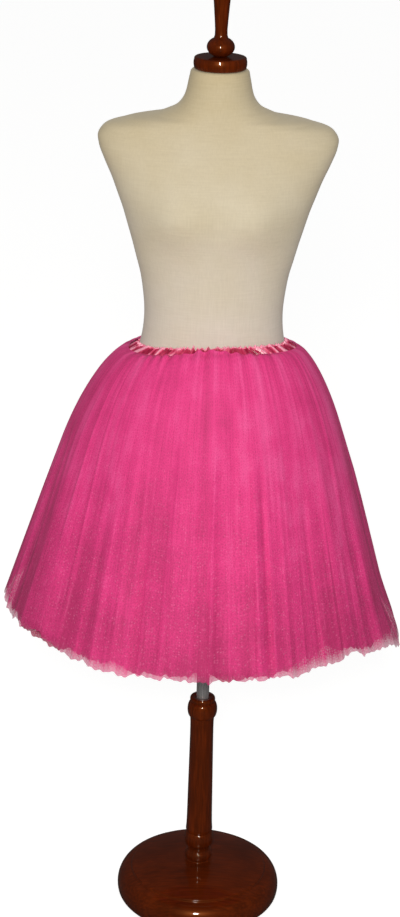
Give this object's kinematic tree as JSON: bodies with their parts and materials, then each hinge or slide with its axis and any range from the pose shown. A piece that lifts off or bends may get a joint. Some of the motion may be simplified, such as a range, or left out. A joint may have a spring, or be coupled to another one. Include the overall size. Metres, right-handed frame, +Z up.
{
  "type": "ballet tutu on a limbless dress form",
  "caption": "Knee-length ballet tutu of gathered tulle layers under a satin elastic waistband, worn by a limbless dress form on a turned wooden stand.",
  "frame": {"origin": "centre of the round base's flat underside, where it rests on the floor", "axes": "+Z up along the pole, -Y out of the front of the dress form, +X to its left as it stands (the viewer's right)"},
  "size_m": [0.7309, 0.6238, 1.72],
  "materials": {
    "pink_satin": "satin",
    "pink_tulle": "matte",
    "ivory_linen": "matte",
    "lacquered_wood": "gloss",
    "chromed_steel": "polished"
  },
  "bodies": {
    "stand": {"base": "lacquered_wood", "column": "lacquered_wood"},
    "pole": {"pole": "chromed_steel"},
    "form": {"dress_form": "ivory_linen", "neck_cap": "lacquered_wood", "finial": "lacquered_wood", "waistband": "pink_satin", "tulle_outer": "pink_tulle", "tulle_middle": "pink_tulle", "tulle_inner": "pink_tulle"}
  },
  "joints": [
    {"name": "height_slide", "type": "slide", "parent": "stand", "child": "pole", "axis": [0, 0, 1], "range_m": [-0.19, 0.06]},
    {"name": "form_swivel", "type": "hinge", "parent": "pole", "child": "form", "pos_m": [0, 0, 0.87], "axis": [0, 0, 1], "continuous": true}
  ]
}
